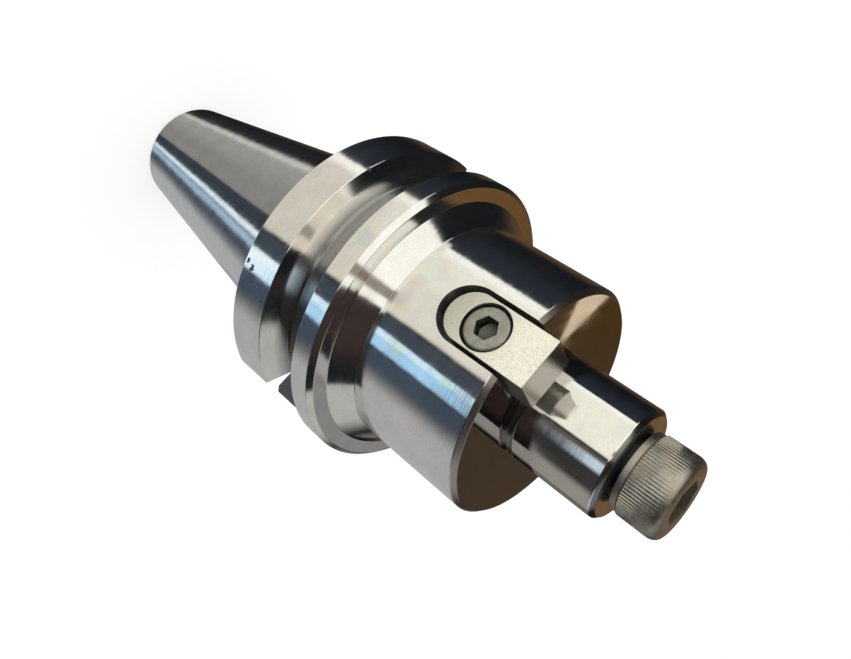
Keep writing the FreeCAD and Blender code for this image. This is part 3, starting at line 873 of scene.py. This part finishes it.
# %% Ground steel
def finish_ground_steel(material):
    """The body: ground bright, with fine rings, oil and dings, darker on the shoulder face, painted shade in
    the groove and the undercut, and a painted brown shade on the chamfer.
    """
    tree, shader = start_steel(material, 0.11, anisotropic=0.7)
    rings = use_group(tree, TURNING_MARKS)
    marks = use_group(tree, MOTTLE)
    film = use_group(tree, OIL_FILM)["Tint"]
    dings = use_group(tree, DING_MARKS)["Mask"]
    radius, height = place_along(tree)
    tone = blend(tree, marks["Blotches"], (0.78, 0.77, 0.755, 1), (0.88, 0.87, 0.855, 1))
    tone = blend(tree, maths(tree, "MULTIPLY", marks["Grains"], 0.3), tone, (0.64, 0.63, 0.61, 1))
    tone = blend(tree, 1.0, tone, film, "MULTIPLY")
    in_groove = within(tree, (height, GROOVE_MIDDLE - 3.8, GROOVE_MIDDLE - 3.4),
                       (height, GROOVE_MIDDLE + 4.0, GROOVE_MIDDLE + 3.6),
                       (radius, FLANGE_RADIUS - 2.2, FLANGE_RADIUS - 4.7))
    at_root = within(tree, (height, SHOULDER - 0.1, SHOULDER),
                     (radius, SPIGOT_RADIUS - 0.1, SPIGOT_RADIUS - 0.25))
    sunk = maths(tree, "MAXIMUM", in_groove, at_root)
    chamfer = within(tree, (height, SHOULDER - 0.95, SHOULDER - 0.75),
                     (radius, BODY_RADIUS - 1.0, BODY_RADIUS - 0.8))
    on_face = within(tree, (height, SHOULDER - 0.06, SHOULDER - 0.01),
                     (height, SHOULDER + 0.06, SHOULDER + 0.03))
    on_spigot = within(tree, (height, SHOULDER + 0.02, SHOULDER + 0.04))
    # Painted shade: the V groove's floor and the spigot's undercut are darkened where shade falls, and the
    # shoulder chamfer gets a painted brown shade.
    tone = blend(tree, maths(tree, "MULTIPLY", sunk, 0.85), tone, (0.20, 0.20, 0.20, 1))
    tone = blend(tree, maths(tree, "MULTIPLY", chamfer, 0.7), tone, (0.26, 0.22, 0.19, 1))
    tone = blend(tree, on_face, tone, (0.62, 0.60, 0.57, 1), "MULTIPLY")
    tree.links.new(blend(tree, dings, tone, (0.12, 0.14, 0.18, 1)), shader.inputs["Base Color"])
    rough = spread(tree, rings["Bands"], 0.35, 0.65, 0.085, 0.13)
    for mask, more in ((dings, 0.3), (sunk, 0.15), (on_face, -0.075), (chamfer, 0.22), (on_spigot, -0.02)):
        rough = maths(tree, "MULTIPLY_ADD", mask, more, rough)
    tree.links.new(rough, shader.inputs["Roughness"])
    depth = maths(tree, "SUBTRACT", 1.0, maths(tree, "MULTIPLY_ADD", on_spigot, 0.7, on_face))
    relief = maths(tree, "MULTIPLY", rings["Height"], maths(tree, "MAXIMUM", depth, 0.006))
    emboss(tree, shader, maths(tree, "MULTIPLY_ADD", dings, -1.8, relief), 0.3, 0.028)


finish_ground_steel(ground_steel)


# %% Milled steel
def finish_milled_steel(material):
    """The slots: as milled, with painted shade that makes them near black in the flange, and a lighter grey
    higher up in the key slots.
    """
    tree, shader = start_steel(material, 0.4)
    marks = use_group(tree, MOTTLE, Blotch=400.0, Grain=3000.0)
    # Painted shade: the slots in the flange and the thread in the tapped hole are painted near black, and the
    # key slots a lighter grey.
    clear_of_flange_shade = within(tree, (place_along(tree)[1], FLANGE_FRONT - 2, FLANGE_FRONT + 8))
    dark = blend(tree, marks["Blotches"], (0.075, 0.085, 0.105, 1), (0.12, 0.13, 0.15, 1))
    light = blend(tree, marks["Blotches"], (0.46, 0.46, 0.44, 1), (0.60, 0.60, 0.58, 1))
    tree.links.new(blend(tree, clear_of_flange_shade, dark, light), shader.inputs["Base Color"])
    tree.links.new(spread(tree, marks["Blotches"], 0.0, 1.0, 0.34, 0.46), shader.inputs["Roughness"])
    emboss(tree, shader, marks["Grains"], 0.4, 0.02)


finish_milled_steel(milled_steel)


# %% Key steel
KEY_SHADE_FULL_BELOW = 41.0
KEY_SHADE_GONE_ABOVE = 55.0


def key_steel():
    """The keys: a speckled satin on top, with painted shade that darkens the top towards the round end and
    darkens the nose and the flanks.
    """
    material = bpy.data.materials.new("key_steel")
    tree, shader = start_steel(material, 0.36)
    marks = use_group(tree, MOTTLE, Blotch=1300.0, Grain=4200.0)
    height = place_along(tree)[1]
    # Painted shade: the top darkens towards the round end, and the nose face and the flanks are painted
    # darker.
    round_end_shade = spread(tree, height, KEY_SHADE_FULL_BELOW * MM, KEY_SHADE_GONE_ABOVE * MM, 0.75, 0.0)
    nose = spread(tree, height, (KEY_NOSE - 0.2) * MM, (KEY_NOSE - 0.05) * MM, 0.0, 0.8)
    round_end_shade = maths(tree, "MAXIMUM", round_end_shade, nose)
    flank = within(tree, (from_middle(tree, "x"), KEY_HALF_WIDTH - 0.15, KEY_HALF_WIDTH - 0.03))
    tone = blend(tree, marks["Blotches"], (0.88, 0.86, 0.77, 1), (1.00, 0.99, 0.93, 1))
    specks = spread(tree, marks["Grains"], 0.62, 0.95)
    tone = blend(tree, maths(tree, "MULTIPLY", specks, 0.6), tone, (0.42, 0.40, 0.33, 1))
    tone = blend(tree, round_end_shade, tone, (0.42, 0.41, 0.36, 1))
    tone = blend(tree, nose, tone, (0.36, 0.34, 0.30, 1))
    tone = blend(tree, flank, tone, (0.26, 0.25, 0.235, 1))
    tree.links.new(tone, shader.inputs["Base Color"])
    rough = spread(tree, marks["Blotches"], 0.0, 1.0, 0.31, 0.4)
    tree.links.new(maths(tree, "MULTIPLY_ADD", nose, -0.17, rough), shader.inputs["Roughness"])
    emboss(tree, shader, marks["Grains"], 0.35, 0.02)
    return material


# %% Screw steel
def finish_screw_steel(material, light, dark, roughness, bump, neck=None, face=None):
    """A screw: a matte grey, with painted shade that turns it black below the height neck or deep in a socket
    sunk in its face.
    """
    tree, shader = start_steel(material, roughness)
    marks = use_group(tree, MOTTLE, Blotch=900.0, Grain=5200.0)
    tone = blend(tree, marks["Blotches"], dark, light)
    tone = blend(tree, maths(tree, "MULTIPLY", marks["Grains"], 0.25), tone, dark)
    if neck:
        radius, height = place_along(tree)
        # Painted shade: black in the neck under the head.
        painted_shade = within(tree, (height, neck + 0.15, neck - 0.05),
                       (radius, CLAMP_SHANK_RADIUS + 0.1, CLAMP_SHANK_RADIUS + 0.5))
        tone = blend(tree, painted_shade, tone, (0.05, 0.045, 0.04, 1))
    if face:
        # Painted shade: dark deep in the socket.
        painted_shade = within(tree, (from_middle(tree, "y"), face - 0.5, face - 2.0))
        tone = blend(tree, maths(tree, "MULTIPLY", painted_shade, 0.8), tone, (0.07, 0.07, 0.065, 1))
    tree.links.new(tone, shader.inputs["Base Color"])
    tree.links.new(spread(tree, marks["Blotches"], 0.0, 1.0, roughness - 0.05, roughness + 0.06),
                   shader.inputs["Roughness"])
    emboss(tree, shader, marks["Grains"], bump, 0.02)


finish_screw_steel(key_screw_steel, (0.40, 0.40, 0.36, 1), (0.28, 0.28, 0.25, 1), 0.36, 0.3,
                   face=KEY_HEAD_SEAT + KEY_HEAD_HEIGHT)
finish_screw_steel(clamp_screw_steel, (0.50, 0.47, 0.41, 1), (0.37, 0.345, 0.30, 1), 0.38, 0.4,
                   neck=CLAMP_SEAT + CLAMP_NECK_HEIGHT)

# %% Dress the pieces and fix each to its body
def enlist(piece, body_name, node=None):
    """Fixes a piece to the body it moves with, and lets it stand for a node."""
    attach(piece, body_name)
    if node:
        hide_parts(node)


enlist(body, "arbor", "arbor_body")
dress(stud_thread, milled_steel)
enlist(stud_thread, "arbor")

key_finish = key_steel()
for letter in SIDES:
    dress(drive_keys[letter], key_finish)
    enlist(drive_keys[letter], "arbor", "drive_key_" + letter)
    enlist(key_screws[letter], "arbor", "key_screw_" + letter)

dress(clamp_thread, clamp_screw_steel)
enlist(clamp, "clamp", "clamp_screw")
enlist(clamp_thread, "clamp")

# %% [markdown]
# ## The studio
# Polished steel shows the room more than itself. A studio stands cards round it: a large warm white one,
# dark ones beside it that draw its edges, a narrow cool one and a brown one. Here they are painted on the
# world by longitude and latitude, and only reflections see them. Each row of the table is one card, and a
# later card stands in front of an earlier one. One more card is a wedge with two slanting edges, which the
# flat shoulder shows as a bright fan.

# %% Cards round the steel
ROOM = (0.006, 0.008, 0.010)
CARDS = (
    # name, west, east, south, north, softness west, east, south and north, colour
    ("dim_room_low", -60, 10, -95, -50, 20, 4, 8, 8, (0.016, 0.017, 0.018)),
    ("dim_room_near", 4, 34, -50, 10, 22, 1, 4, 8, (0.020, 0.026, 0.036)),
    ("warm_white", 31.0, 115.3, -52, 0, 0.7, 2.0, 2, 2, (0.84, 0.81, 0.70)),
    ("warm_white_low", 31.0, 114.5, -52, -38.5, 0.7, 2.0, 2, 2.5, (0.75, 0.71, 0.62)),
    ("white_middle", 40, 76, -38, -22, 6, 8, 2, 2, (0.98, 0.96, 0.84)),
    ("white_near_nose", 32, 113, -21.5, -8, 0.7, 2, 2, 3, (1.02, 0.99, 0.86)),
    ("white_by_the_edge", 30.9, 40, -52, -8, 0.7, 5, 2, 6, (1.12, 1.11, 1.03)),
    ("white_horizon", 27, 119, -9, 68, 1.0, 1.5, 4, 3, (1.18, 1.16, 1.07)),
    ("white_above", 8, 131, 68, 95, 1.5, 3.0, 3, 2, (0.80, 0.74, 0.59)),
    ("camera_stand", 96, 108, -5, 68, 1.5, 1.5, 3, 3, (0.32, 0.285, 0.225)),
    ("camera_stand_above", 85, 107, 66, 95, 3.0, 3.0, 3, 2, (0.36, 0.33, 0.265)),
    ("grey_below", 6, 114, -95, -50, 2.0, 3.0, 2, 2, (0.275, 0.27, 0.25)),
    ("grey_below_bright", 6, 60, -95, -50, 2.0, 24.0, 2, 2, (0.36, 0.355, 0.33)),
    ("bright_strip_below", 9, 20, -95, -50, 2.0, 3.0, 2, 2, (0.66, 0.65, 0.62)),
    ("dim_window_side", 118, 132, -50, -24, 2.0, 1.0, 4, 1, (0.052, 0.068, 0.091)),
    ("dim_window_side_low", 112, 142, -95, -50, 3.0, 2.0, 3, 3, (0.036, 0.048, 0.065)),
    ("dim_between_low", 148, 192, -95, -50, 3.0, 6.0, 3, 3, (0.070, 0.085, 0.112)),
    ("dim_side_near", 119, 141, -24, -8, 1.5, 8.0, 1, 4, (0.105, 0.090, 0.078)),
    ("brown_room_high", 119, 175, 5, 68, 1.5, 14.0, 6, 3, (0.042, 0.028, 0.024)),
    ("dim_wall_near", 140, 180, -24, -8, 8.0, 5.0, 1, 4, (0.036, 0.034, 0.034)),
    ("cool_window", 132.5, 140, -50, -25.2, 0.8, 2.0, 1, 0.5, (0.78, 1.02, 1.20)),
    ("cool_window_far_pane", 139, 149.5, -50, -25.2, 2.0, 2.0, 1, 0.5, (0.47, 0.80, 1.08)),
    ("cool_window_bright", 133, 150.5, -52, -42.5, 0.8, 1.5, 2, 1.0, (1.04, 1.18, 1.22)),
    ("cool_window_low", 141, 151, -95, -50, 1.5, 2.0, 1, 1, (0.88, 1.05, 1.15)),
    ("cool_window_low_far", 155, 168, -95, -50, 2.0, 3.0, 1, 1, (0.40, 0.58, 0.73)),
    ("cool_window_top", 127, 146, -17.8, -10, 4.0, 5.0, 0.9, 2, (0.68, 0.84, 0.96)),
    ("dim_wall", 151.5, 172, -50, -24, 1.5, 8.0, 4, 1, (0.056, 0.080, 0.116)),
    ("pale_wall_low", 194, 282, -95, -48, 14.0, 14.0, 2, 2, (0.44, 0.45, 0.46)),
    ("pale_wall", 177, 275, -48, -21, 13.0, 10.0, 2, 2, (0.45, 0.45, 0.445)),
    ("pale_wall_middle", 189, 242, -21, -6, 12.0, 10.0, 2, 3, (0.32, 0.305, 0.275)),
    ("brown_wall_middle", 246, 264, -21, -6, 8.0, 8.0, 2, 3, (0.19, 0.165, 0.14)),
    ("pale_wall_high", 198, 236, -6, 68, 1.2, 10.0, 3, 8, (0.50, 0.50, 0.48)),
    ("brown_table", 268, 320, -50, 68, 8.0, 12.0, 10, 10, (0.085, 0.052, 0.030)),
    ("brown_by_the_face", 262, 292, 12, 28, 6.0, 8.0, 5, 2, (0.092, 0.061, 0.040)),
    ("amber_table", 287, 320, 12, 28, 5.0, 12.0, 5, 2, (0.105, 0.056, 0.016)),
    ("amber_table_high", 284, 320, 28, 68, 6.0, 12.0, 2, 10, (0.150, 0.078, 0.022)),
    ("amber_by_the_nose", 264, 300, 8, 17, 6.0, 10.0, 2, 1.5, (0.40, 0.215, 0.085)),
    ("grey_wall_high", 230, 275, 26, 68, 8.0, 4.0, 1.2, 8, (0.27, 0.27, 0.265)),
)
# longitude and latitude of the wedge's point, and of the far end of its north and its south edge
WEDGE_POINT, WEDGE_NORTH, WEDGE_SOUTH = (286.2, 23.0), (289.6, 23.4), (291.8, 21.75)
WEDGE_END = 293.0
WEDGE_END_SOFTNESS = 0.5
WEDGE_SOFTNESS = 0.05
WEDGE_COLOUR = (1.12, 0.92, 0.64)


def edge_mask(tree, value, at, soft, rising):
    """A soft step up or down at a number."""
    low, high = (0.0, 1.0) if rising else (1.0, 0.0)
    node = add_node(tree, "ShaderNodeMapRange",
                    {"Value": value, "From Min": at - soft, "From Max": at + soft, "To Min": low,
                     "To Max": high}, interpolation_type="SMOOTHSTEP")
    return node.outputs["Result"]


def side_of_line(tree, longitude, latitude, start, end, soft):
    """A mask that is 1 to the right of a line between two directions, with a soft edge."""
    across, up = end[0] - start[0], end[1] - start[1]
    length = math.hypot(across, up)
    right = maths(tree, "MULTIPLY_ADD", longitude, up / length, -start[0] * up / length)
    above = maths(tree, "MULTIPLY_ADD", latitude, across / length, -start[1] * across / length)
    return edge_mask(tree, maths(tree, "SUBTRACT", right, above), 0.0, soft, True)


def make_world():
    """White for the camera, the cards for reflections, and a plain soft light for the rest."""
    world = bpy.data.worlds.new("studio")
    bpy.context.scene.world = world
    world.use_nodes = True
    tree = world.node_tree
    tree.nodes.clear()
    way = add_node(tree, "ShaderNodeTexCoord").outputs["Generated"]
    parts = add_node(tree, "ShaderNodeSeparateXYZ", {0: way}).outputs
    turn = maths(tree, "DEGREES", maths(tree, "ARCTAN2", parts[1], parts[0]))
    longitude = maths(tree, "WRAP", turn, 330.0, -30.0)
    latitude = maths(tree, "DEGREES", maths(tree, "ARCSINE", parts[2]))
    colour = (*ROOM, 1)
    for label, west, east, south, north, soft_west, soft_east, soft_south, soft_north, card in CARDS:
        mask = edge_mask(tree, longitude, west, soft_west, True)
        for value, at, soft, rising in ((longitude, east, soft_east, False),
                                        (latitude, south, soft_south, True),
                                        (latitude, north, soft_north, False)):
            mask = maths(tree, "MULTIPLY", mask, edge_mask(tree, value, at, soft, rising))
        colour = blend(tree, mask, colour, (*card, 1))
        colour.node.label = label
    wedge = maths(tree, "MULTIPLY",
                  side_of_line(tree, longitude, latitude, WEDGE_POINT, WEDGE_NORTH, WEDGE_SOFTNESS),
                  side_of_line(tree, longitude, latitude, WEDGE_SOUTH, WEDGE_POINT, WEDGE_SOFTNESS))
    wedge = maths(tree, "MULTIPLY", wedge, edge_mask(tree, longitude, WEDGE_END, WEDGE_END_SOFTNESS, False))
    colour = blend(tree, wedge, colour, (*WEDGE_COLOUR, 1))
    rays = add_node(tree, "ShaderNodeLightPath").outputs
    mirror = maths(tree, "MAXIMUM", rays["Is Glossy Ray"], rays["Is Transmission Ray"])
    seen = blend(tree, mirror, (0.9, 0.9, 0.9, 1), colour)
    shown = blend(tree, rays["Is Camera Ray"], seen, (1, 1, 1, 1))
    light = add_node(tree, "ShaderNodeBackground", {"Color": shown, "Strength": 1.0})
    add_node(tree, "ShaderNodeOutputWorld", {"Surface": light.outputs[0]})
    print("The studio has", len(CARDS), "cards")


make_world()


# %% Floor
def make_floor():
    """A wide pale floor under the small end. Reflections, and a look from below, pass through it."""
    let_go()
    bpy.ops.mesh.primitive_plane_add(size=6.0, location=(0, 0, cad_low.z))
    floor = bpy.context.object
    floor.name = "floor"
    settle(floor)
    material = bpy.data.materials.new("white_paper")
    material.use_nodes = True
    tree = material.node_tree
    tree.nodes.clear()
    paper = add_node(tree, "ShaderNodeBsdfDiffuse", {"Color": (0.5, 0.5, 0.5, 1)})
    glow = add_node(tree, "ShaderNodeEmission", {"Color": (1, 1, 1, 1), "Strength": 0.62})
    lit = add_node(tree, "ShaderNodeAddShader", {0: paper.outputs[0], 1: glow.outputs[0]})
    clear = add_node(tree, "ShaderNodeBsdfTransparent")
    rays = add_node(tree, "ShaderNodeLightPath").outputs
    mirror = maths(tree, "MAXIMUM", rays["Is Glossy Ray"], rays["Is Transmission Ray"])
    below = add_node(tree, "ShaderNodeNewGeometry").outputs["Backfacing"]
    through = maths(tree, "MAXIMUM", mirror, below)
    both = add_node(tree, "ShaderNodeMixShader", {0: through, 1: lit.outputs[0], 2: clear.outputs[0]})
    add_node(tree, "ShaderNodeOutputMaterial", {"Surface": both.outputs[0]})
    dress(floor, material)


make_floor()

# %% [markdown]
# ## Camera
# The photograph looks down on the arbor from beside the key, turned so that the axis runs from the upper
# left to the lower right. The lens and place come from matching the turned edges with the picture.

# %% Camera
PHOTO_WIDTH = 851
SENSOR_WIDTH = 36.0
FOCAL_PIXELS = 772.8
CAMERA_PLACE = Vector((-27.83, 131.45, 108.26)) * MM
CAMERA_AIM = Vector((8.58, 0.0, 22.02)) * MM
CAMERA_ROLL = 123.602
SHIFT_PIXELS = (19.7, -45.0)


def make_camera():
    """The photograph's camera."""
    camera_data = bpy.data.cameras.new("camera")
    camera = bpy.data.objects.new("camera", camera_data)
    bpy.context.scene.collection.objects.link(camera)
    camera_data.sensor_width = SENSOR_WIDTH
    camera_data.lens = FOCAL_PIXELS * SENSOR_WIDTH / PHOTO_WIDTH
    camera_data.shift_x = -SHIFT_PIXELS[0] / PHOTO_WIDTH
    camera_data.shift_y = SHIFT_PIXELS[1] / PHOTO_WIDTH
    camera_data.clip_start = 0.01
    look = (CAMERA_AIM - CAMERA_PLACE).to_track_quat("-Z", "Y").to_matrix().to_4x4()
    roll = Matrix.Rotation(math.radians(CAMERA_ROLL), 4, "Z")
    camera.matrix_world = Matrix.Translation(CAMERA_PLACE) @ look @ roll
    bpy.context.scene.camera = camera


make_camera()
bpy.context.scene.view_settings.view_transform = "Standard"
